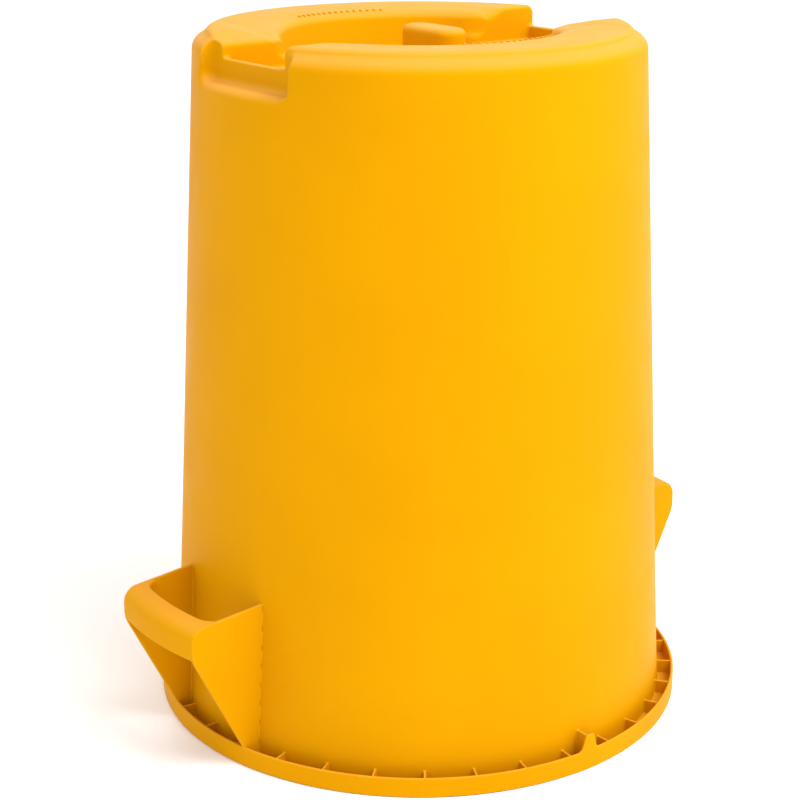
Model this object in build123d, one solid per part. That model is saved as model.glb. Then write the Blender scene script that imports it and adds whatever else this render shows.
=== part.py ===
from build123d import *
import math
import os

# Round heavy-duty utility container, standing upside down on its rim.
#
# Millimetres.  The origin is the centre of the mouth, on the plane that the rim rests on.  +Z runs
# up through the body to the base, and X runs through the two side handles.  The real container is
# one moulding.  Each moulded feature is a closed solid of its own here, and neighbours meet face
# to face.  Everything repeats after half a turn about Z.

# ---------------------------------------------------------------- driving dimensions
height = 705.0              # rim plane to the top of the foot ring
skin = 3.6                  # moulded wall thickness

wall_mouth_radius = 263.25  # outside of the wall at the rim plane
wall_taper = 0.0552         # radius lost for each millimetre of height
barrel_top = 640.0          # where the plain wall ends and the base end begins

rim_radius = 280.0
rim_flange_thickness = 4.0
rim_skirt_thickness = 3.0
rim_skirt_top = 20.5
rim_skirt_round = 1.2       # rounding on the skirt's upper edge
gusset_count = 34
gusset_thickness = 2.2
gusset_drop = 1.6           # the gussets stop this far below the top of the skirt

shoulder_top = 697.5
shoulder_round = 13.0
foot_ring_radius = 210.0    # outside of the raised foot ring
foot_ring_edge = 4.6
foot_ring_flat_inner = 170.0
crest_radius = 148.0        # where the ring's top rolls over into the recess
crest_drop = 2.0            # how far the crest lies below the ring's flat top
crest_round = 11.0
recess_radius = 131.0       # foot of the recess wall
recess_floor = 660.0
recess_cove = 9.0

grip_zone_half = 92.0       # half width of the separate hand grip panel
grip_zone_bottom = 646.0
channel_square_y = 58.0     # the square end of the channel on the +X side
channel_ramp_foot_y = -45.0  # foot and head of the ramp at its other end
channel_ramp_head_y = -82.0
channel_ramp_foot_z = 697.0
channel_floor = 668.0
channel_start_x = 90.0      # the cut starts inside the recess
sill_inner_x = 196.0        # the sill is the bar that the fingers close on
sill_outer_x = 203.0
sill_top = 683.0
pocket_square_y = 74.0      # finger pocket on the outside of the sill, longer past the square end
pocket_ramp_y = -63.0
pocket_floor = 661.0
pocket_square_round = 5.0   # lower corners of the pocket's opening
pocket_ramp_round = 12.0

boss_radius = 17.0          # centre boss, a rounded bar that starts at the axis
boss_reach = 45.0           # from the axis to its far centre, towards -Y
boss_round = 7.0

tooth_count = 15
tooth_pitch = 2.95          # degrees
tooth_row_middle = -91.5    # degrees from +X
tooth_radius = 147.0
tooth_length = 4.6          # along the radius
tooth_width = 2.2
tooth_bottom = 698.0
tooth_top = 704.0

web_y = 63.0                # middle plane of each handle web
web_thickness = 4.0
web_top = 169.0             # where the web's upper edge meets the wall
grip_outer = 334.0
grip_inner = 309.0
grip_top = 164.0
grip_bottom = 131.0
grip_inner_bottom = 145.0   # lower edge of the grip's inner leg
grip_round = 14.5
grip_skin = 4.0

tab_left_foot = -15.0       # the lock tab's outline, as seen from -Y
tab_right_foot = 7.0
tab_left_head = -8.5
tab_right_head = 1.5
tab_top = 37.5
tab_round = 2.5
rib_x = -4.0                # the rib ties the tab to the wall
rib_thickness = 3.0
rib_top = 35.0

reach = 2.0 * height        # longer than anything that has to be cut
least_volume = 1.0          # cubic millimetres, anything less is a scrap of a cut

side_turns = {"left": Rot(0, 0, 180), "right": Rot(0, 0, 0)}   # features modelled at +X
end_turns = {"front": Rot(0, 0, 0), "back": Rot(0, 0, 180)}    # features modelled at -Y


# ---------------------------------------------------------------- helpers
def wall_radius(z):
    """Outside radius of the tapered wall at height z."""
    return wall_mouth_radius - wall_taper * z


def chord_x(radius, y):
    """X of the circle of that radius at a distance y from the X axis."""
    return math.sqrt(radius ** 2 - y ** 2)


def turned_outline(pieces):
    """Solid of revolution about Z from connected curves in radius and z."""
    return revolve(Plane.XZ * make_face(Curve() + pieces), Axis.Z)


def ring_of(points):
    """Solid of revolution about Z from a closed outline of (radius, z) corners."""
    return turned_outline([Polyline(*points, close=True)])


def block(x_range, y_range, z_range):
    """Box between three pairs of coordinates."""
    ranges = (x_range, y_range, z_range)
    size = [high - low for low, high in ranges]
    middle = [(high + low) / 2 for low, high in ranges]
    return Pos(*middle) * Box(*size)


def main_solid(shape):
    """The largest solid of a cut, without its scraps."""
    return max(shape.solids(), key=lambda piece: piece.volume)


def write_node(name, pieces):
    """Write one node from a solid or a list of equal solids."""
    solids = [solid for piece in pieces for solid in piece.solids() if solid.volume > least_volume]
    node = solids[0] if len(solids) == 1 else Compound(children=solids)
    node.label = name
    export_step(node, f"parts/{name}.step")


# ---------------------------------------------------------------- wall and rim
def body_wall():
    """Plain tapered wall from the rim plane up to the base end."""
    foot, head = wall_radius(0), wall_radius(barrel_top)
    return ring_of([(foot - skin, 0), (foot, 0), (head, barrel_top), (head - skin, barrel_top)])


def body_core():
    """Everything inside the outer face of the tapered wall, as a cutting tool."""
    return ring_of([(0, -skin), (wall_radius(-skin), -skin), (wall_radius(height), height), (0, height)])


def rim_flange():
    """Flat annulus that closes the rim channel and carries the container's weight."""
    thickness = rim_flange_thickness
    return ring_of([(wall_radius(0), 0), (rim_radius, 0), (rim_radius, thickness),
                    (wall_radius(thickness), thickness)])


def rim_skirt():
    """Upright outer band of the rim, with a rounded upper edge."""
    inner = rim_radius - rim_skirt_thickness
    band = ring_of([(inner, rim_flange_thickness), (rim_radius, rim_flange_thickness),
                    (rim_radius, rim_skirt_top), (inner, rim_skirt_top)])
    return fillet(band.edges().group_by(Axis.Z)[-1], rim_skirt_round)


def rim_gussets():
    """Radial plates across the rim channel, evenly spaced."""
    inner = rim_radius - rim_skirt_thickness
    top = rim_skirt_top - gusset_drop
    channel = ring_of([(wall_radius(rim_flange_thickness), rim_flange_thickness),
                       (inner, rim_flange_thickness), (inner, top), (wall_radius(top), top)])
    half = gusset_thickness / 2
    plate = channel & block((0, reach), (-half, half), (0, reach))
    return [Rot(0, 0, index * 360 / gusset_count) * plate for index in range(gusset_count)]


def lock_tab():
    """Upright tongue on the skirt at -Y, wider at its foot, that a lid catches on."""
    inner = rim_radius - rim_skirt_thickness
    foot_z = rim_skirt_top - rim_skirt_round
    outline = make_face(Polyline((tab_left_foot, foot_z), (tab_right_foot, foot_z),
                                 (tab_right_head, tab_top), (tab_left_head, tab_top), close=True))
    outline = fillet(outline.vertices().group_by(Axis.Y)[-1], tab_round)
    tongue = extrude(Plane.XZ * outline, amount=reach)
    band = ring_of([(inner, foot_z), (rim_radius, foot_z), (rim_radius, tab_top), (inner, tab_top)])
    return main_solid((tongue & band) - rim_skirt())


def tab_rib():
    """Thin radial rib from the wall to the lock tab."""
    inner = rim_radius - rim_skirt_thickness
    half = rib_thickness / 2
    channel = ring_of([(wall_radius(rim_flange_thickness), rim_flange_thickness),
                       (inner, rim_flange_thickness), (inner, rib_top), (wall_radius(rib_top), rib_top)])
    return channel & block((rib_x - half, rib_x + half), (-reach, 0), (0, reach))


# ---------------------------------------------------------------- side handles
def handle_web():
    """Flat web of the +X handle on its +Y side, from the wall out to the grip's outer face."""
    outer = chord_x(grip_outer, web_y + web_thickness / 2)
    round_z = grip_top - grip_round
    skirt_x = chord_x(rim_radius, web_y)
    start_x = chord_x(wall_radius(0) - skin, web_y)
    outline = [
        Polyline((start_x, web_top), (start_x, 0), (skirt_x, 0), (skirt_x, rim_skirt_top),
                 (outer, grip_bottom), (outer, round_z)),
        RadiusArc((outer, round_z), (outer - grip_round, grip_top), -grip_round),
        Polyline((outer - grip_round, grip_top), (wall_radius(web_top), grip_top), (start_x, web_top)),
    ]
    plate = extrude(Plane.XZ * make_face(Curve() + outline), amount=web_thickness / 2, both=True)
    return main_solid(Pos(0, web_y, 0) * plate - body_core() - rim_flange() - rim_skirt())


def grip_section(inset):
    """The grip's outer form, swept round the axis and moved inwards by inset."""
    top, outer = grip_top - inset, grip_outer - inset
    radius = grip_round - inset
    inner = grip_inner + inset
    return turned_outline([
        Polyline((outer - radius, top), (inner, top), (inner, grip_bottom), (outer, grip_bottom),
                 (outer, top - radius)),
        RadiusArc((outer, top - radius), (outer - radius, top), -radius),
    ])


def handle_grip():
    """Curved grip bar of the +X handle, hollow from below, with a short inner leg."""
    half = web_y - web_thickness / 2
    shell = grip_section(0) - grip_section(grip_skin)
    under_leg = Cylinder(grip_inner + grip_skin, 2 * grip_inner_bottom)
    return main_solid((shell - under_leg) & block((0, reach), (-half, half), (0, height)))


# ---------------------------------------------------------------- base end
def base_form(inset):
    """Solid form of the base end, moved into the material by inset."""
    round_z = shoulder_top - shoulder_round
    shoulder_edge = wall_radius(round_z) - shoulder_round
    wall_foot, wall_head = wall_radius(barrel_top) - inset, wall_radius(round_z) - inset
    ring_outer, ring_round = foot_ring_radius - inset, foot_ring_radius - foot_ring_edge
    ring_top, ring_edge_z = height - inset, height - foot_ring_edge
    crest_z = height - crest_drop
    roll_radius, roll_z = crest_radius - crest_round + inset, crest_z - crest_round
    cove_z, floor_radius = recess_floor + recess_cove, recess_radius - recess_cove
    return turned_outline([
        Polyline((0, recess_floor - inset), (0, barrel_top), (wall_foot, barrel_top),
                 (wall_head, round_z)),
        RadiusArc((wall_head, round_z), (shoulder_edge, shoulder_top - inset), inset - shoulder_round),
        Polyline((shoulder_edge, shoulder_top - inset), (ring_outer, shoulder_top - inset),
                 (ring_outer, ring_edge_z)),
        RadiusArc((ring_outer, ring_edge_z), (ring_round, ring_top), inset - foot_ring_edge),
        Polyline((ring_round, ring_top), (foot_ring_flat_inner, ring_top), (crest_radius, crest_z - inset)),
        RadiusArc((crest_radius, crest_z - inset), (roll_radius, roll_z), inset - crest_round),
        Polyline((roll_radius, roll_z), (recess_radius + inset, cove_z)),
        RadiusArc((recess_radius + inset, cove_z), (floor_radius, recess_floor - inset),
                  recess_cove + inset),
        Polyline((floor_radius, recess_floor - inset), (0, recess_floor - inset)),
    ])


def channel_cut(grow):
    """Channel through the foot ring on the +X side, down to the sill and behind it."""
    square_y = channel_square_y + grow
    foot_y, head_y = channel_ramp_foot_y - grow, channel_ramp_head_y - grow
    outline = Polyline((square_y, reach), (square_y, sill_top - grow), (foot_y, sill_top - grow),
                       (foot_y, channel_ramp_foot_z - grow), (head_y, height - grow), (head_y, reach),
                       close=True)
    over_sill = extrude(Plane.YZ * make_face(outline), amount=reach, dir=(1, 0, 0))
    behind_sill = block((channel_start_x, sill_inner_x + grow), (foot_y, square_y),
                        (channel_floor - grow, sill_top))
    return Pos(channel_start_x, 0, 0) * over_sill + behind_sill


def pocket_cut(grow):
    """Finger pocket in the wall, outside the sill on the +X side."""
    low_y, high_y, floor = pocket_ramp_y - grow, pocket_square_y + grow, pocket_floor - grow
    outline = make_face(Polyline((low_y, floor), (high_y, floor), (high_y, reach), (low_y, reach), close=True))
    for end, radius in ((0, pocket_ramp_round), (-1, pocket_square_round)):
        corner = outline.vertices().group_by(Axis.Y)[0].sort_by(Axis.X)[end]
        outline = fillet(corner, radius + grow)
    return Pos(sill_outer_x - grow, 0, 0) * extrude(Plane.YZ * outline, amount=reach, dir=(1, 0, 0))


def base_shell():
    """The whole base end as one shell, before it is divided into its features."""
    outer, inner = base_form(0), base_form(skin)
    for cut in (channel_cut, pocket_cut):
        for turn in side_turns.values():
            outer = outer - turn * cut(0)
            inner = inner - turn * cut(skin)
    return outer - inner


def base_nodes():
    """The base end divided into its moulded features, by name."""
    shell = base_shell()
    floor_radius = recess_radius - recess_cove
    floor_plug = Cylinder(floor_radius, reach)
    crest_plug = Cylinder(crest_radius, reach)
    ring_plug = Cylinder(foot_ring_radius, reach)
    side_zone = block((0, reach), (-grip_zone_half, grip_zone_half), (grip_zone_bottom, reach))
    sill_zone = block((sill_inner_x, sill_outer_x), (channel_ramp_foot_y, channel_square_y),
                      (channel_floor, sill_top))
    rest = shell - crest_plug
    nodes = {
        "base_panel": (shell & floor_plug) - boss_form(skin, barrel_top),
        "recess_wall": (shell & crest_plug) - floor_plug,
    }
    for side, turn in side_turns.items():
        panel = rest & (turn * side_zone)
        nodes[f"{side}_hand_grip"] = panel - turn * sill_zone
        nodes[f"{side}_grip_sill"] = panel & (turn * sill_zone)
        rest = rest - turn * side_zone
    nodes["base_shoulder"] = rest - ring_plug
    front_half = block((-reach, reach), (-reach, 0), (0, reach))
    for place, turn in end_turns.items():
        nodes[f"{place}_foot_ring"] = (rest & ring_plug) & (turn * front_half)
    return nodes


def boss_form(inset, bottom):
    """Rounded bar from the axis towards -Y, moved into the material by inset."""
    outline = SlotCenterToCenter(boss_reach, 2 * (boss_radius - inset), rotation=90)
    bar = extrude(Pos(0, -boss_reach / 2) * outline, amount=height - inset - bottom)
    bar = Pos(0, 0, bottom) * bar
    return fillet(bar.edges().group_by(Axis.Z)[-1], boss_round - inset)


def centre_boss():
    """Boss that stands on the base panel, cored out from inside the container."""
    return boss_form(0, recess_floor) - boss_form(skin, barrel_top)


def tooth_row():
    """Row of small teeth on the crest of the foot ring at -Y."""
    blank = block((tooth_radius - tooth_length / 2, tooth_radius + tooth_length / 2),
                  (-tooth_width / 2, tooth_width / 2), (tooth_bottom, tooth_top))
    tooth = main_solid(blank - base_form(0))
    first = tooth_row_middle - tooth_pitch * (tooth_count - 1) / 2
    return [Rot(0, 0, first + tooth_pitch * index) * tooth for index in range(tooth_count)]


# ---------------------------------------------------------------- the nodes
def main():
    os.makedirs("parts", exist_ok=True)
    write_node("body_wall", [body_wall()])
    write_node("rim_flange", [rim_flange()])
    write_node("rim_skirt", [rim_skirt()])
    write_node("rim_gussets", rim_gussets())
    write_node("centre_boss", [centre_boss()])
    for name, shape in base_nodes().items():
        write_node(name, [shape])

    tab, rib, teeth = lock_tab(), tab_rib(), tooth_row()
    for place, turn in end_turns.items():
        write_node(f"{place}_lock_tab", [turn * tab])
        write_node(f"{place}_tab_rib", [turn * rib])
        write_node(f"{place}_teeth", [turn * tooth for tooth in teeth])

    grip, plus_web = handle_grip(), handle_web()
    minus_web = mirror(plus_web, about=Plane.XZ)
    for side, turn in side_turns.items():
        write_node(f"{side}_handle_grip", [turn * grip])
        write_node(f"{side}_handle_web_a", [turn * minus_web])
        write_node(f"{side}_handle_web_b", [turn * plus_web])


if __name__ == "__main__":
    main()
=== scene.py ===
import itertools
import math

import bmesh
import bpy
import numpy as np
from mathutils import Matrix, Vector


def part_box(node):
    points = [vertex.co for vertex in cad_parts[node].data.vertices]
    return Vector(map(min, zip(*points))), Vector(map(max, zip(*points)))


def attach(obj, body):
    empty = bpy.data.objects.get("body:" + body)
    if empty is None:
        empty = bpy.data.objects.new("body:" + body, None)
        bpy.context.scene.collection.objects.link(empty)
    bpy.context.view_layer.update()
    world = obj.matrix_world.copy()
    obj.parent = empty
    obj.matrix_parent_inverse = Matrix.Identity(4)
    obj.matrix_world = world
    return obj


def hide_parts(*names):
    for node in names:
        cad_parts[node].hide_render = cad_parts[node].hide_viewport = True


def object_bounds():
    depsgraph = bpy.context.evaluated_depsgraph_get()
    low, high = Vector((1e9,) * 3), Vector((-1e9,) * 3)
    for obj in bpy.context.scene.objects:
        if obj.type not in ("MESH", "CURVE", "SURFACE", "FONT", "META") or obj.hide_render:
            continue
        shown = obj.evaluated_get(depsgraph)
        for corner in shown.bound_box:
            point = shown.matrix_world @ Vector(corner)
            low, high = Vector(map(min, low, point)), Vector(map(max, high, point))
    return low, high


# The looks of a round moulded utility container that stands upside down on its rim.
#
# Lengths are millimetres until a mesh is made, and metres in Blender.  Each piece is described by a
# field: a function that is negative inside the plastic, zero on its surface and about the distance
# to it outside.  Fields are joined and cut with rounded edges, as a mould leaves them, and
# surface_net turns them into meshes whose normals come from the field itself.

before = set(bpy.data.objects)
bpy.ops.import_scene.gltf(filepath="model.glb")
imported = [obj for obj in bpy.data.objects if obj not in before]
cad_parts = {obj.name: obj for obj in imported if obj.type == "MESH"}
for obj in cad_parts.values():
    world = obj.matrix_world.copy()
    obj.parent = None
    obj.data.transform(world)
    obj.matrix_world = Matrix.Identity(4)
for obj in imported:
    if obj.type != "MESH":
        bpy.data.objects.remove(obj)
cad_low, cad_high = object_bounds()
MM = 1000.0
EDGE = "edge"                # mesh attribute that tells the plastic where its edges are


# ---------------------------------------------------------------- sizes
def corners(node):
    """Lowest and highest corner of a CAD node in millimetres."""
    low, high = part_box(node)
    return low * MM, high * MM


height = cad_high.z * MM
_, wall_high = corners("body_wall")
_, flange_high = corners("rim_flange")
_, skirt_high = corners("rim_skirt")
_, gusset_high = corners("rim_gussets")
_, shoulder_high = corners("base_shoulder")
_, panel_high = corners("base_panel")
sill_low, sill_high = corners("right_grip_sill")
boss_low, boss_high = corners("centre_boss")
web_low, web_high = corners("right_handle_web_b")
grip_low, grip_high = corners("right_handle_grip")
tab_low, tab_high = corners("front_lock_tab")
rib_low, rib_high = corners("front_tab_rib")

skin = 3.6
wall_foot = wall_high.x
wall_taper = 0.0552
wall_cosine = 1 / math.hypot(1, wall_taper)
barrel_top = wall_high.z

shoulder_top = shoulder_high.z
shoulder_round = 13.0
ring_radius = 209.0
ring_lean = 0.6              # the foot ring's outer side spreads by this for each millimetre down
ring_lean_depth = 10.0       # and goes straight down below that, inside the shoulder
ring_edge = 3.5
ring_foot_round = 4.0
ring_flat_inner = 170.0
crest_radius = 148.0
crest_drop = 2.0
crest_round = 11.0
recess_radius = 131.0
recess_lean = 6.0 / 32.0     # the recess wall's draft, sideways for each millimetre up
recess_floor = panel_high.z
recess_cove = 9.0

sill_round = 1.5
channel_floor = sill_low.z
channel_floor_round = 4.0
channel_start = 60.0
square_y = sill_high.y
ramp_foot_y = sill_low.y
ramp_foot_z = 697.0
ramp_run = 37.0
ramp_rise = height - ramp_foot_z
ramp_round = 5.0
pocket_square_y = 74.0
pocket_ramp_y = -63.0
pocket_floor = 661.0
pocket_square_round = 5.0
pocket_ramp_round = 12.0
pocket_cove = 8.0
pocket_lip_round = 9.5

# the radius of the edge round a channel and its pocket, which changes from place to place
ring_end_round = 4.5         # along most of it
ramp_edge_round = 2.0        # on the ramp, from ramp_edge_start before its foot
ramp_edge_start = 12.0
ramp_edge_blend = 10.0       # each change is spread over a length like this
recess_corner_round = 16.0   # where the channel meets the recess, above its floor
recess_corner_start = 10.0
recess_corner_blend = 30.0
recess_corner_above = 4.0
recess_corner_rise = 10.0
lip_above = 5.0              # on the pocket's lip, up to this far above its floor
lip_rise = 20.0
lip_end = 9.0                # and up to this far from the pocket's square end
lip_end_blend = 7.0

boss_radius = boss_high.x
boss_far_y = boss_low.y + boss_radius
boss_round = 7.0
boss_foot_round = 4.0

rim_radius = flange_high.x
rim_floor = flange_high.z
skirt_top = skirt_high.z
skirt_thickness = 3.0
skirt_top_round = 1.4
rim_foot_round = 1.2
rim_channel_round = 2.0
skirt_inner_round = 1.3
mouth_round = 1.0
rim_wall_fillet = 1.5
gusset_count = 34
gusset_thickness = 2.2
gusset_top = gusset_high.z
gusset_edge_round = 0.6
gusset_foot_round = 1.0

tab_head_left = -8.5
tab_head_right = 1.5
tab_left_lean = 0.34         # how much each flank spreads for each millimetre down
tab_right_lean = 0.25
tab_round = 2.5
tab_foot_round = 4.0
tab_reach = 16.0             # half of the stretch of skirt that the tab's outline covers
rib_round = 0.8
rib_foot_round = 1.0

web_y = (web_low.y + web_high.y) / 2
web_half = (web_high.y - web_low.y) / 2
grip_outer = grip_high.x
grip_inner = 309.0
grip_top = grip_high.z
grip_bottom = grip_low.z
grip_round = 14.5
grip_skin = 4.0
grip_leg_bottom = 145.0
grip_corner = 16.0
grip_edge_round = 3.0
grip_bottom_round = 1.5
grip_hollow_round = 1.2
web_edge_round = 1.3
web_corner_round = 3.0
web_fall_run = 60.0          # the web's upper edge falls to the grip's top over this length
web_lap = 1.0                # how far a web reaches into the rim
handle_fillet = 1.6

tooth_count = 15
tooth_pitch = math.radians(2.95)
front_row_middle = math.radians(-91.5)
tooth_radius = 147.0
tooth_length = 4.6
tooth_width = 2.2
tooth_top = 704.0
tooth_foot = 700.5
tooth_round = 0.8

bury = 0.6                   # how far a piece that stands on the wall reaches into it
fade = 0.03                  # how far its fillet dips under the wall's face where it ends
lap_bottom = barrel_top - 10.0  # the base end's skin starts here, inside the wall's thickness
lap_top = barrel_top + 5.0   # and the wall ends here

# how finely each mesh is made
round_segments = 360
wall_level_step = 40.0
base_step = 1.4
base_share_kept = 0.36
handle_step = 1.15
tooth_step = 0.3
settle_rounds = 4
margin = 3.0                 # between a piece and its grid's borders


# ---------------------------------------------------------------- fields
def round_join(a, b, radius):
    """Union of two fields with a fillet of that radius in the corner between them."""
    near = np.hypot(np.maximum(radius - a, 0), np.maximum(radius - b, 0))
    return np.maximum(radius, np.minimum(a, b)) - near


def round_cut(a, b, radius):
    """Intersection of two fields with the edge between them rounded to that radius."""
    near = np.hypot(np.maximum(radius + a, 0), np.maximum(radius + b, 0))
    return np.minimum(-radius, np.maximum(a, b)) + near


def ease(t):
    """Smooth step from 0 to 1."""
    t = np.clip(t, 0, 1)
    return t * t * (3 - 2 * t)


def wall_field(radius, z):
    """Distance outside the tapered wall."""
    return (radius - wall_foot + wall_taper * z) * wall_cosine


def on_wall(feature, wall, fillet, keep):
    """A feature that stands on the wall, with its fillet, buried a little in the wall."""
    blended = round_join(feature, wall, fillet) + fade
    return np.maximum(np.maximum(blended, keep), feature - fillet)


# ---------------------------------------------------------------- container body
def foot_ring_field(radius, z):
    """Shoulder and raised foot ring with the deep recess inside it, before the channels."""
    shoulder = round_cut(wall_field(radius, z), z - shoulder_top, shoulder_round)
    drop = crest_drop * ease((ring_flat_inner - radius) / (ring_flat_inner - crest_radius))
    below = np.minimum(height - z, ring_lean_depth)
    side = (radius - ring_radius - ring_lean * below) / math.hypot(1, ring_lean)
    ring = round_cut(side, z - height + drop, ring_edge)
    body = round_join(shoulder, ring, ring_foot_round)
    recess_wall = radius - recess_radius - recess_lean * (z - recess_floor)
    recess = round_cut(recess_wall, recess_floor - z, recess_cove)
    return round_cut(body, -recess, crest_round)


def grip_cut_field(x, y, z):
    """Channel through the foot ring and finger pocket outside its sill, on the +X side."""
    slope = math.hypot(ramp_run, ramp_rise)
    above_ramp = ((z - ramp_foot_z) * ramp_run + (y - ramp_foot_y) * ramp_rise) / slope
    ramp_side = round_join(ramp_foot_y - y, -above_ramp, ramp_round)
    sides = np.maximum(y - square_y, ramp_side)
    trough = round_cut(x - sill_low.x, channel_floor - z, channel_floor_round)
    floor = round_join(sill_high.z - z, trough, sill_round)
    channel = np.maximum(round_cut(sides, floor, channel_floor_round), channel_start - x)
    ramp_end = round_cut(pocket_ramp_y - y, pocket_floor - z, pocket_ramp_round)
    square_end = round_cut(y - pocket_square_y, pocket_floor - z, pocket_square_round)
    pocket = round_cut(np.maximum(ramp_end, square_end), sill_high.x - x, pocket_cove)
    return round_join(channel, pocket, sill_round)


def cut_edge_round(x, y, z):
    """Radius of the edge round the cuts, on the +X side: widest at the recess and on the pocket's lip."""
    at_ramp = ease((ramp_foot_y + ramp_edge_start - y) / ramp_edge_blend)
    near_recess = 1 - ease((x - crest_radius + recess_corner_start) / recess_corner_blend)
    above_floor = ease((z - channel_floor - recess_corner_above) / recess_corner_rise)
    low_down = 1 - ease((z - pocket_floor - lip_above) / lip_rise)
    off_square_end = 1 - ease((y - pocket_square_y + lip_end) / lip_end_blend)
    radius = ring_end_round
    radius = radius + (ramp_edge_round - radius) * at_ramp
    radius = radius + (recess_corner_round - radius) * (near_recess * above_floor)
    radius = radius + (pocket_lip_round - radius) * (low_down * off_square_end)
    return radius


def boss_field(x, y, z):
    """Rounded bar in the recess, from the axis towards -Y."""
    side = np.hypot(x, y - np.clip(y, boss_far_y, 0)) - boss_radius
    return round_cut(side, z - height, boss_round)


def base_field(x, y, z):
    """The skin of the base end: shoulder, foot ring, channels, pockets, recess and boss."""
    turn = np.where(x < 0, -1, 1)
    radius = np.hypot(x, y)
    one_side = (x * turn, y * turn, z)
    outside = round_cut(foot_ring_field(radius, z), -grip_cut_field(*one_side), cut_edge_round(*one_side))
    outside = round_join(outside, boss_field(x, y, z), boss_foot_round)
    shell = np.maximum(outside, -outside - skin) + np.where(z < lap_top, fade, 0)
    return np.maximum(shell, lap_bottom - z)


# ---------------------------------------------------------------- rim
def rim_field(theta, z, radius):
    """Flange, skirt, gussets, lock tabs and their ribs, in cylindrical coordinates."""
    wall = wall_field(radius, z)
    block = round_cut(radius - rim_radius, z - skirt_top, skirt_top_round)
    block = round_cut(block, -z, rim_foot_round)
    channel = round_cut(radius - rim_radius + skirt_thickness, rim_floor - z, rim_channel_round)
    ring = round_cut(block, -channel, skirt_inner_round)

    step = 2 * math.pi / gusset_count
    from_gusset = (theta / step + 0.5) % 1 - 0.5
    faces = np.abs(from_gusset * step * radius) - gusset_thickness / 2
    gusset = round_cut(faces, z - gusset_top, gusset_edge_round)
    gusset = np.maximum(gusset, radius - rim_radius + skirt_thickness / 2)
    ring = round_join(ring, gusset, gusset_foot_round)

    # x across each tab, the back tab being half a turn from the front one
    across = ((theta / math.pi) % 1 - 0.5) * math.pi * radius
    ring = np.minimum(ring, tab_field(across, z, radius))

    under = np.maximum(-wall - skin, z - 2 * bury)
    keep = np.minimum(-wall - bury, under)
    keep = np.maximum(keep, round_cut(-wall - skin, -z, mouth_round))
    return on_wall(ring, wall, rim_wall_fillet, keep)


def tab_field(x, z, radius):
    """Upright tongue that grows out of the skirt, and the rib that ties it to the wall."""
    below = tab_high.z - z
    left, right = tab_head_left - tab_left_lean * below, tab_head_right + tab_right_lean * below
    tongue = round_cut(np.maximum(left - x, x - right), -below, tab_round)
    outline = round_join(tongue, z - skirt_top, tab_foot_round)
    outline = np.maximum(outline, np.abs(x - (tab_low.x + tab_high.x) / 2) - tab_reach)
    band = np.abs(radius - rim_radius + skirt_thickness / 2) - skirt_thickness / 2
    tab = round_cut(outline, band, skirt_top_round)
    rib_x, rib_half = (rib_low.x + rib_high.x) / 2, (rib_high.x - rib_low.x) / 2
    rib = round_cut(np.abs(x - rib_x) - rib_half, z - rib_high.z, rib_round)
    rib = np.maximum(rib, radius - rim_radius + skirt_thickness / 2)
    return round_join(tab, rib, rib_foot_round)


# ---------------------------------------------------------------- side handle
def handle_field(x, y, z):
    """The +X side handle: two webs and the curved grip bar between them."""
    radius = np.hypot(x, y)
    wall = wall_field(radius, z)
    outer = radius - grip_outer

    # the webs' outline, seen along Y
    wall_x = math.sqrt((wall_foot - wall_taper * web_high.z) ** 2 - web_y ** 2)
    fall = (web_high.z - grip_top) / web_fall_run
    top = (z - web_high.z + fall * (x - wall_x)) / math.hypot(1, fall)
    foot_x = math.sqrt(rim_radius ** 2 - web_y ** 2)
    run = math.sqrt(grip_outer ** 2 - web_y ** 2) - foot_x
    rise = grip_bottom - skirt_top
    lower = ((x - foot_x) * rise - (z - skirt_top) * run) / math.hypot(rise, run)
    outline = round_cut(round_cut(top, outer, grip_round), lower, web_corner_round)
    root = np.maximum(radius - rim_radius + skirt_thickness / 2, z - skirt_top + web_lap)
    outline = np.maximum(np.minimum(outline, root), rim_floor - web_lap - z)
    webs = round_cut(outline, np.abs(np.abs(y) - web_y) - web_half, web_edge_round)

    # the grip bar, with its corners filled towards the webs, hollow from below
    side = web_y - web_half - np.abs(y)
    plan = round_join(grip_inner - radius, side, grip_corner)
    crown = round_cut(outer, z - grip_top, grip_round)
    bar = round_cut(crown, plan, grip_edge_round)
    bar = np.maximum(bar, np.maximum(np.abs(y) - web_y, grip_inner - grip_corner - radius))
    bar = round_cut(bar, grip_bottom - z, grip_bottom_round)
    inner_crown = round_cut(outer + grip_skin, z - grip_top + grip_skin, grip_round - grip_skin)
    hollow = np.maximum(np.maximum(inner_crown, plan + grip_skin), web_half - side)
    bar = round_cut(bar, -hollow, grip_hollow_round)
    under_leg = np.maximum(z - grip_leg_bottom, -plan - grip_skin - web_lap)
    bar = round_cut(bar, -under_leg, grip_hollow_round)
    return on_wall(np.minimum(webs, bar), wall, handle_fillet, -wall - bury)


# ---------------------------------------------------------------- fields to meshes
def gradient(field, points):
    """Central differences of a field at points of shape (n, 3)."""
    step = 0.02
    columns = []
    for axis in range(3):
        ahead, behind = points.copy(), points.copy()
        ahead[:, axis] += step
        behind[:, axis] -= step
        columns.append((field(*ahead.T) - field(*behind.T)) / (2 * step))
    return np.stack(columns, 1)


def settle(field, points, furthest):
    """Moves points onto the surface of a field, none further than that, and gives its normals."""
    tiny = 1e-9
    flattest = 0.05              # keeps a step short where the field hardly changes
    start = points.copy()
    for _ in range(settle_rounds):
        slope = gradient(field, points)
        size = np.maximum((slope ** 2).sum(1, keepdims=True), flattest)
        points = points - field(*points.T)[:, None] * slope / size
        moved = points - start
        length = np.linalg.norm(moved, axis=1, keepdims=True)
        points = start + moved * np.minimum(1, furthest / np.maximum(length, tiny))
    slope = gradient(field, points)
    return points, slope / np.maximum(np.linalg.norm(slope, axis=1, keepdims=True), tiny)


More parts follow.
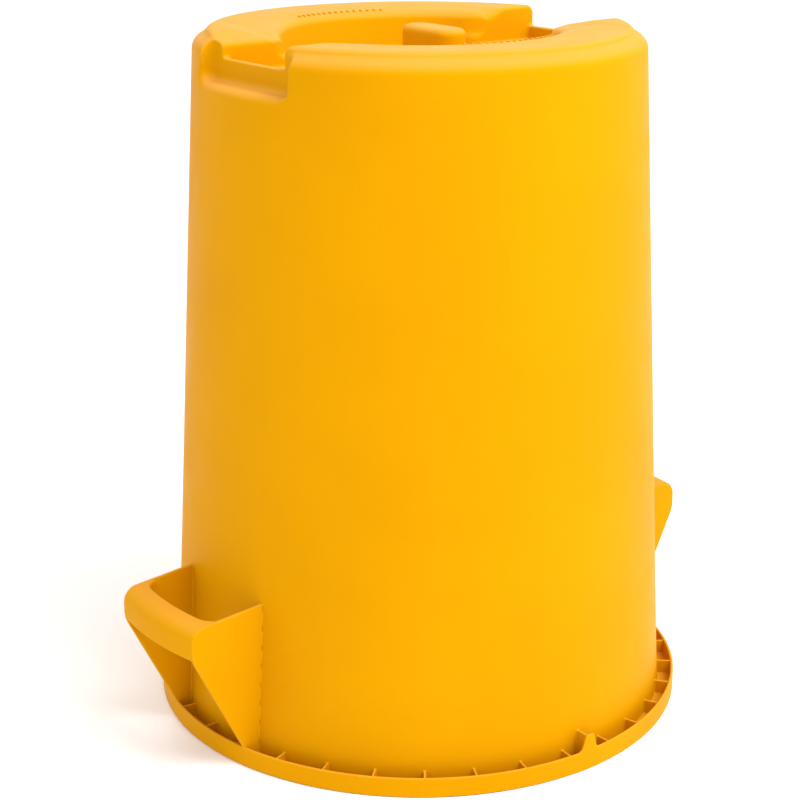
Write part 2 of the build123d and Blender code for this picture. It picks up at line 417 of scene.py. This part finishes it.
def surface_net(field, lines, closed=False):
    """Points and quads where a field crosses zero, with one point in each cell that it crosses.

    lines are the grid's coordinates along its three axes.  The first axis runs round and meets
    itself when closed is true.  The field must be positive on the grid's other borders.
    """
    first, second, third = lines
    value = np.stack([field(first[:, None], second[None, :], w) for w in third], 2).astype(np.float32)
    if closed:
        value = np.concatenate([value, value[:1]])
        first = np.append(first, first[0] + 2 * math.pi)
    inside = value < 0
    cells_each = [size - 1 for size in inside.shape]
    count = np.zeros(cells_each, np.int8)
    for corner in itertools.product((0, 1), repeat=3):
        part = tuple(slice(shift, size + shift) for shift, size in zip(corner, cells_each))
        count += inside[part]
    cells = np.argwhere((count > 0) & (count < 8))
    number = np.full(count.shape, -1, np.int32)
    number[tuple(cells.T)] = np.arange(len(cells))

    # each point is the mean of the places where the surface crosses its cell's edges
    grid = (first, second, third)
    total, hits = np.zeros((len(cells), 3)), np.zeros((len(cells), 1))
    for axis in range(3):
        for shift in ((0, 0), (0, 1), (1, 0), (1, 1)):
            start = cells.copy()
            start[:, [other for other in range(3) if other != axis]] += shift
            end = start.copy()
            end[:, axis] += 1
            a, b = value[tuple(start.T)], value[tuple(end.T)]
            crossed = ((a < 0) != (b < 0))[:, None]
            share = (a / np.where(a == b, 1, a - b))[:, None]
            low = np.stack([grid[n][start[:, n]] for n in range(3)], 1)
            high = np.stack([grid[n][end[:, n]] for n in range(3)], 1)
            total += np.where(crossed, low + (high - low) * share, 0)
            hits += crossed
    points = total / hits

    # each grid edge that the surface crosses gives the quad of the four cells round it
    quads = []
    for axis in range(3):
        b, c = (axis + 1) % 3, (axis + 2) % 3
        here = np.take(inside, range(inside.shape[axis] - 1), axis)
        there = np.take(inside, range(1, inside.shape[axis]), axis)
        edges = np.argwhere(here != there)
        if closed and axis != 0:
            edges = edges[edges[:, 0] < inside.shape[0] - 1]
        ring = []
        for back_b, back_c in ((1, 1), (0, 1), (0, 0), (1, 0)):
            cell = edges.copy()
            cell[:, b] -= back_b
            cell[:, c] -= back_c
            if closed:
                cell[:, 0] %= count.shape[0]
            ring.append(number[tuple(cell.T)])
        quad = np.stack(ring, 1)
        leaving = here[tuple(edges.T)]
        quads.append(np.where(leaving[:, None], quad, quad[:, ::-1]))
    return points, np.concatenate(quads)


def mesh_of(name, points, faces):
    """Mesh from points in millimetres and faces that all have the same number of corners."""
    mesh = bpy.data.meshes.new(name)
    corners_each = faces.shape[1]
    mesh.vertices.add(len(points))
    mesh.vertices.foreach_set("co", (points / MM).astype(np.float32).ravel())
    mesh.loops.add(faces.size)
    mesh.loops.foreach_set("vertex_index", faces.astype(np.int32).ravel())
    mesh.polygons.add(len(faces))
    mesh.polygons.foreach_set("loop_start", np.arange(0, faces.size, corners_each, dtype=np.int32))
    mesh.update(calc_edges=True)
    mesh.validate()
    return mesh


def thin_out(mesh, share):
    """The same mesh with that share of its faces, kept densest where it curves."""
    holder = bpy.data.objects.new("thinning", mesh)
    bpy.context.scene.collection.objects.link(holder)
    modifier = holder.modifiers.new("thin", "DECIMATE")
    modifier.ratio = share
    depsgraph = bpy.context.evaluated_depsgraph_get()
    thin = bpy.data.meshes.new_from_object(holder.evaluated_get(depsgraph))
    bpy.data.objects.remove(holder)
    return thin


def outward_curve(field, points):
    """How tightly a field's surface bends outwards at each point, in 1/mm, negative in a hollow."""
    step = 1.0
    total = -6 * field(*points.T)
    for axis in range(3):
        for side in (-step, step):
            beside = points.copy()
            beside[:, axis] += side
            total += field(*beside.T)
    return total / step ** 2


def points_of(mesh):
    """A mesh's points in millimetres."""
    flat = np.zeros(3 * len(mesh.vertices), np.float32)
    mesh.vertices.foreach_get("co", flat)
    return flat.reshape(-1, 3).astype(float) * MM


def finish_mesh(mesh, field, furthest):
    """Settles a mesh on its field and takes its normals from there."""
    points, normals = settle(field, points_of(mesh), furthest)
    mesh.vertices.foreach_set("co", (points / MM).astype(np.float32).ravel())
    mesh.polygons.foreach_set("use_smooth", np.ones(len(mesh.polygons), bool))
    mesh.update()
    mesh.normals_split_custom_set_from_vertices(normals.astype(np.float32).tolist())
    if EDGE not in mesh.attributes:
        mesh.attributes.new(EDGE, "FLOAT", "POINT")
    mesh.attributes[EDGE].data.foreach_set("value", outward_curve(field, points).astype(np.float32))
    return mesh


def add_piece(name, mesh, nodes, material):
    """Puts a finished mesh in the scene as a piece that stands for those CAD nodes."""
    mesh.name = name
    piece = bpy.data.objects.new(name, mesh)
    bpy.context.scene.collection.objects.link(piece)
    mesh.materials.clear()
    mesh.materials.append(material)
    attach(piece, "root")
    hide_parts(*nodes)
    return piece


def lines_between(low, high, step):
    """Evenly spaced grid lines from low to high, at most step apart."""
    return np.linspace(low, high, 1 + math.ceil((high - low) / step))


# ---------------------------------------------------------------- pieces
def make_wall(material):
    """Plain tapered wall, a closed tube turned about the axis."""
    levels = lines_between(2 * bury, lap_top, wall_level_step)
    outer = [(wall_foot - wall_taper * z, z) for z in levels]
    profile = outer + [(radius - skin, z) for radius, z in reversed(outer)]
    radius, z = np.array(profile).T
    angle = np.arange(round_segments)[:, None] * 2 * math.pi / round_segments
    points = np.stack([radius * np.cos(angle), radius * np.sin(angle), z + 0 * angle], 2).reshape(-1, 3)
    rows = len(profile)
    turn, row = np.meshgrid(np.arange(round_segments), np.arange(rows), indexing="ij")
    next_turn, next_row = (turn + 1) % round_segments, (row + 1) % rows
    quads = np.stack([turn * rows + row, next_turn * rows + row, next_turn * rows + next_row,
                      turn * rows + next_row], 2).reshape(-1, 4)
    mesh = mesh_of("wall", points, quads)
    mesh.polygons.foreach_set("use_smooth", np.ones(len(mesh.polygons), bool))
    mesh.set_sharp_from_angle(angle=math.radians(30))
    return add_piece("wall", mesh, ["body_wall"], material)


def make_base(material):
    """The whole base end as one moulded skin."""
    reach = wall_foot - wall_taper * lap_bottom + margin
    across = lines_between(-reach, reach, base_step)
    upward = lines_between(lap_bottom - 2, height + margin, base_step)
    points, quads = surface_net(base_field, (across, across, upward))
    mesh = mesh_of("base", points, quads)
    mesh = finish_mesh(mesh, base_field, 1.3)
    mesh = finish_mesh(thin_out(mesh, base_share_kept), base_field, 0.5)
    nodes = ["base_shoulder", "front_foot_ring", "back_foot_ring", "recess_wall", "base_panel",
             "centre_boss", "left_hand_grip", "right_hand_grip", "left_grip_sill", "right_grip_sill"]
    return add_piece("base", mesh, nodes, material)


def rim_angles():
    """Grid lines round the rim, close together at each gusset and each tab."""
    step = 2 * math.pi / gusset_count
    beside = np.array([0.2, 0.7, 1.1, 1.6, 2.2, 2.9])    # millimetres from a gusset's middle
    offsets = np.concatenate([-beside[::-1], beside]) / rim_radius
    lines_between_gussets = 8
    plain = np.linspace(offsets[-1], step - offsets[-1], lines_between_gussets)[1:-1]
    one = np.concatenate([offsets, plain])
    angles = np.concatenate([one + index * step for index in range(gusset_count)])
    close = lines_between(-tab_reach - margin, tab_reach + margin, 0.6) / rim_radius
    for middle in (math.pi / 2, 3 * math.pi / 2):
        angles = angles[np.abs(angles - middle) > close[-1]]
        angles = np.concatenate([angles, close + middle])
    return np.sort(angles)


def rim_in_space(x, y, z):
    """The rim's field in plain coordinates."""
    return rim_field(np.arctan2(y, x), z, np.hypot(x, y))


def make_rim(material):
    """Flange, skirt, gussets, lock tabs and ribs as one moulded ring."""
    upward = np.concatenate([lines_between(-1, 6.2, 0.8), lines_between(8, 15, 1.8),
                             lines_between(16, 23, 0.7), lines_between(24, tab_high.z + 1.5, 1.0)])
    outward = lines_between(wall_foot - skin - 1.7, rim_radius + 1, 0.75)
    points, quads = surface_net(rim_field, (rim_angles(), upward, outward), closed=True)
    angle, z, radius = points.T
    points = np.stack([radius * np.cos(angle), radius * np.sin(angle), z], 1)
    mesh = finish_mesh(mesh_of("rim", points, quads), rim_in_space, 0.8)
    nodes = ["rim_flange", "rim_skirt", "rim_gussets", "front_lock_tab", "back_lock_tab",
             "front_tab_rib", "back_tab_rib"]
    return add_piece("rim", mesh, nodes, material)


def make_handles(material):
    """The right-hand handle, and the left-hand one half a turn round."""
    innermost = 228.0            # inside the wall's outer face at the top of the webs
    lines = (lines_between(innermost, grip_outer + margin, handle_step),
             lines_between(-web_y - 7, web_y + 7, handle_step),
             lines_between(0, web_high.z + 2 * margin, handle_step))
    points, quads = surface_net(handle_field, lines)
    right = finish_mesh(mesh_of("right_handle", points, quads), handle_field, 1.2)
    left = right.copy()
    left.transform(Matrix.Rotation(math.pi, 4, "Z"))
    for side, mesh in (("right", right), ("left", left)):
        nodes = [f"{side}_handle_grip", f"{side}_handle_web_a", f"{side}_handle_web_b"]
        add_piece(f"{side}_handle", mesh, nodes, material)


def tooth_field(x, y, z):
    """One small rounded tooth on the crest of the foot ring, at +X."""
    along, across = np.abs(x - tooth_radius) - tooth_length / 2, np.abs(y) - tooth_width / 2
    sides = round_cut(along, across, tooth_round)
    return np.maximum(round_cut(sides, z - tooth_top, tooth_round), tooth_foot - z)


def make_teeth(material):
    """Row of teeth on the front of the foot ring, and the back row half a turn round."""
    lines = (lines_between(tooth_radius - tooth_length, tooth_radius + tooth_length, tooth_step),
             lines_between(-tooth_width, tooth_width, tooth_step),
             lines_between(tooth_foot - 1, tooth_top + 1, tooth_step))
    points, quads = surface_net(tooth_field, lines)
    tooth = finish_mesh(mesh_of("tooth", points, quads), tooth_field, tooth_step)
    for place, middle in (("front", front_row_middle), ("back", front_row_middle + math.pi)):
        row = bmesh.new()
        for index in range(tooth_count):
            copy = tooth.copy()
            angle = middle + (index - (tooth_count - 1) / 2) * tooth_pitch
            copy.transform(Matrix.Rotation(angle, 4, "Z"))
            row.from_mesh(copy)
        mesh = bpy.data.meshes.new(f"{place}_teeth")
        row.to_mesh(mesh)
        row.free()
        add_piece(f"{place}_tooth_row", mesh, [f"{place}_teeth"], material)


# ---------------------------------------------------------------- material
full_yellow = (0.635, 0.281, 0.0005, 1)
deep_yellow = (0.605, 0.264, 0.0005, 1)
pale_yellow = (0.66, 0.33, 0.02, 1)
# painted sheen: the paler colour put on what faces up, in place of a highlight
painted_sheen_yellow = (0.635, 0.295, 0.042, 1)
sheen_tint = (1.0, 0.75, 0.2, 1)
sheen_level = 0.025

# sizes of the patterns, in spots per metre
cloud_scale = 7
line_scale = 130
line_stretch = 0.03          # the draw lines are this much finer across the wall than up it
speck_scale = 1100
knock_scale = 60
gloss_scale = 24
wave_scale = 16
grain_scale = 1500

# the part of each pattern's values over which it comes in, and how strongly it shows
cloud_span = (0.35, 0.65)
line_span = (0.5, 0.75)
line_share = 0.2
speck_span = (0.6, 0.85)
speck_share = 0.35
knock_span = (0.42, 0.72)
edge_span = (0.12, 0.6)      # outward curvature in 1/mm
wear_share = 0.5
wear_roughness = 0.12
# where the painted sheen goes: how far up a surface faces, cloud patches, and height above the floor
painted_sheen_facing = (0.35, 0.9)  # upward part of the normal
painted_sheen_cloud_span = (0.3, 0.7)
painted_sheen_cloud_share = (0.8, 1)
painted_sheen_height = (0.1, 0.65)   # metres above the floor
painted_sheen_height_share = (0.35, 1)
gloss_span = (0.3, 0.7)
gloss_roughness = (0.4, 0.52)

# depths of the relief in metres, and how strongly each shows
wave_depth, wave_strength = 0.0008, 0.25
line_depth, line_strength = 0.0002, 0.15
grain_depth, grain_strength = 0.0001, 0.3


class Nodes:
    """A material's node tree, with short ways to add and join its nodes."""

    def __init__(self, tree):
        self.tree = tree

    def add(self, kind, inputs=(), **settings):
        """Adds a node; each input is given as a value or as the socket that feeds it."""
        node = self.tree.nodes.new(kind)
        for name, value in settings.items():
            setattr(node, name, value)
        for name, value in dict(inputs).items():
            self.feed(node.inputs[name], value)
        return node

    def feed(self, socket, value):
        """Sets a socket, or links another socket to it."""
        if isinstance(value, bpy.types.NodeSocket):
            self.tree.links.new(value, socket)
        else:
            socket.default_value = value

    def noise(self, place, scale, detail):
        """Noise of that many spots per metre."""
        node = self.add("ShaderNodeTexNoise", {"Vector": place, "Scale": scale, "Detail": detail})
        return node.outputs["Fac"]

    def spread(self, value, low, high, to_low, to_high):
        """Maps low..high to to_low..to_high."""
        inputs = {"Value": value, "From Min": low, "From Max": high, "To Min": to_low, "To Max": to_high}
        return self.add("ShaderNodeMapRange", inputs).outputs["Result"]

    def multiply(self, a, b):
        """Product of two values."""
        node = self.add("ShaderNodeMath", operation="MULTIPLY")
        self.feed(node.inputs[0], a)
        self.feed(node.inputs[1], b)
        return node.outputs["Value"]

    def plus(self, a, b):
        """Sum of two values."""
        node = self.add("ShaderNodeMath", operation="ADD")
        self.feed(node.inputs[0], a)
        self.feed(node.inputs[1], b)
        return node.outputs["Value"]

    def blend(self, share, first, second):
        """Colour between two colours."""
        node = self.add("ShaderNodeMix", data_type="RGBA")
        self.feed(node.inputs["Factor"], share)
        self.feed(node.inputs[6], first)
        self.feed(node.inputs[7], second)
        return node.outputs[2]

    def bump(self, height, depth, strength, normal=None):
        """Relief of that depth in metres, on top of another one."""
        inputs = {"Height": height, "Distance": depth, "Strength": strength}
        if normal is not None:
            inputs["Normal"] = normal
        return self.add("ShaderNodeBump", inputs).outputs["Normal"]


def make_plastic():
    """Yellow moulded polyethylene: clouded pigment, faint draw lines, fine grain, scuffed edges, and a
    painted sheen that makes what faces up paler.
    """
    material = bpy.data.materials.new("yellow_polyethylene")
    material.use_nodes = True
    nodes = Nodes(material.node_tree)
    shader = material.node_tree.nodes["Principled BSDF"]
    place = nodes.add("ShaderNodeTexCoord").outputs["Object"]

    # pigment: wide clouds, faint lines along the draw of the mould, and fine specks
    drawn_out = {"Vector": place, "Scale": (1, 1, line_stretch)}
    upright = nodes.add("ShaderNodeMapping", drawn_out).outputs["Vector"]
    clouds = nodes.noise(place, cloud_scale, 2)
    draw_lines = nodes.noise(upright, line_scale, 3)
    specks = nodes.noise(place, speck_scale, 1)
    colour = nodes.blend(nodes.spread(clouds, *cloud_span, 0, 1), deep_yellow, full_yellow)
    colour = nodes.blend(nodes.spread(draw_lines, *line_span, 0, line_share), colour, deep_yellow)
    colour = nodes.blend(nodes.spread(specks, *speck_span, 0, speck_share), colour, pale_yellow)

    # edges that get knocked are paler and rougher, in patches
    edge = nodes.add("ShaderNodeAttribute", attribute_name=EDGE).outputs["Fac"]
    knocks = nodes.spread(nodes.noise(place, knock_scale, 4), *knock_span, 0, 1)
    worn = nodes.multiply(nodes.spread(edge, *edge_span, 0, 1), knocks)
    colour = nodes.blend(nodes.multiply(worn, wear_share), colour, pale_yellow)

    # painted sheen: what faces up is given a paler colour, most of all high up on top, standing in for
    # the glossy highlight that light from above puts there
    facing = nodes.add("ShaderNodeNewGeometry").outputs["Normal"]
    up = nodes.add("ShaderNodeSeparateXYZ", {"Vector": facing}).outputs["Z"]
    level = nodes.add("ShaderNodeSeparateXYZ", {"Vector": place}).outputs["Z"]
    painted_sheen = nodes.multiply(nodes.spread(up, *painted_sheen_facing, 0, 1),
                              nodes.spread(clouds, *painted_sheen_cloud_span, *painted_sheen_cloud_share))
    painted_sheen = nodes.multiply(painted_sheen, nodes.spread(level, *painted_sheen_height, *painted_sheen_height_share))
    colour = nodes.blend(painted_sheen, colour, painted_sheen_yellow)
    nodes.feed(shader.inputs["Base Color"], colour)

    # satin surface, with cloudy gloss
    gloss_clouds = nodes.spread(nodes.noise(place, gloss_scale, 3), *gloss_span, *gloss_roughness)
    rough = nodes.plus(gloss_clouds, nodes.multiply(worn, wear_roughness))
    nodes.feed(shader.inputs["Roughness"], rough)
    nodes.feed(shader.inputs["Specular IOR Level"], sheen_level)
    nodes.feed(shader.inputs["Specular Tint"], sheen_tint)

    # relief: slow waves where the wall has shrunk, draw lines, and the mould's fine grain
    normal = nodes.bump(nodes.noise(place, wave_scale, 1), wave_depth, wave_strength)
    normal = nodes.bump(draw_lines, line_depth, line_strength, normal)
    normal = nodes.bump(nodes.noise(place, grain_scale, 2), grain_depth, grain_strength, normal)
    nodes.feed(shader.inputs["Normal"], normal)
    return material


plastic = make_plastic()
make_wall(plastic)
make_base(plastic)
make_rim(plastic)
make_handles(plastic)
make_teeth(plastic)


# ---------------------------------------------------------------- studio
camera_distance = 2.6272     # from the object's axis, in object heights
camera_height = 1.3104
camera_heading = math.radians(-38.6)    # from -Y towards -X
camera_pitch = math.radians(18.271)
camera_turn = math.radians(0.606)
camera_sensor = 36.0
camera_lens = 83.01
furthest_seen = 50.0

floor_half = 12.0
floor_drop = 0.0005
floor_grey = (0.92, 0.92, 0.92, 1)
floor_roughness = 0.9
floor_sheen = 0.1
sky_white = (1, 1, 1, 1)
sky_strength = 1.22


def make_camera():
    """Camera that looks down at the container from in front of its left handle."""
    distance, up = camera_distance * height, camera_height * height
    heading = camera_heading
    data = bpy.data.cameras.new("camera")
    data.sensor_width = camera_sensor
    data.lens = camera_lens
    data.clip_end = furthest_seen
    camera = bpy.data.objects.new("camera", data)
    bpy.context.scene.collection.objects.link(camera)
    camera.location = Vector((math.sin(heading) * distance, -math.cos(heading) * distance, up)) / MM
    camera.rotation_euler = (math.pi / 2 - camera_pitch, 0, heading + camera_turn)
    bpy.context.scene.camera = camera


def make_light(name, place, aim, size, power):
    """Soft light of that width and height at place, aimed at a point, in metres and watts."""
    data = bpy.data.lights.new(name, "AREA")
    data.shape = "RECTANGLE"
    data.size, data.size_y = size
    data.energy = power
    light = bpy.data.objects.new(name, data)
    bpy.context.scene.collection.objects.link(light)
    light.location = place
    light.rotation_euler = (Vector(aim) - Vector(place)).to_track_quat("-Z", "Y").to_euler()


def make_floor():
    """Plain pale floor."""
    mesh = bpy.data.meshes.new("floor")
    ends = (-floor_half, floor_half)
    points = [(ends[0], ends[0], 0), (ends[1], ends[0], 0), (ends[1], ends[1], 0), (ends[0], ends[1], 0)]
    mesh.from_pydata(points, [], [(0, 1, 2, 3)])
    floor = bpy.data.objects.new("floor", mesh)
    bpy.context.scene.collection.objects.link(floor)
    floor.location.z = -floor_drop
    material = bpy.data.materials.new("floor")
    material.use_nodes = True
    shader = material.node_tree.nodes["Principled BSDF"]
    shader.inputs["Base Color"].default_value = floor_grey
    shader.inputs["Roughness"].default_value = floor_roughness
    shader.inputs["Specular IOR Level"].default_value = floor_sheen
    mesh.materials.append(material)


def make_world():
    """Even pale light from all round."""
    world = bpy.data.worlds.new("world")
    world.use_nodes = True
    sky = world.node_tree.nodes["Background"]
    sky.inputs["Color"].default_value = sky_white
    sky.inputs["Strength"].default_value = sky_strength
    bpy.context.scene.world = world


bpy.context.scene.view_settings.view_transform = "Standard"
make_camera()
make_floor()
make_world()
make_light("key", place=(0.6, -1.65, 2.85), aim=(0, 0, 0.45), size=(1.8, 1.8), power=81)
make_light("side", place=(0.5, -2.2, 0.8), aim=(0, 0, 0.4), size=(0.6, 1.6), power=3)
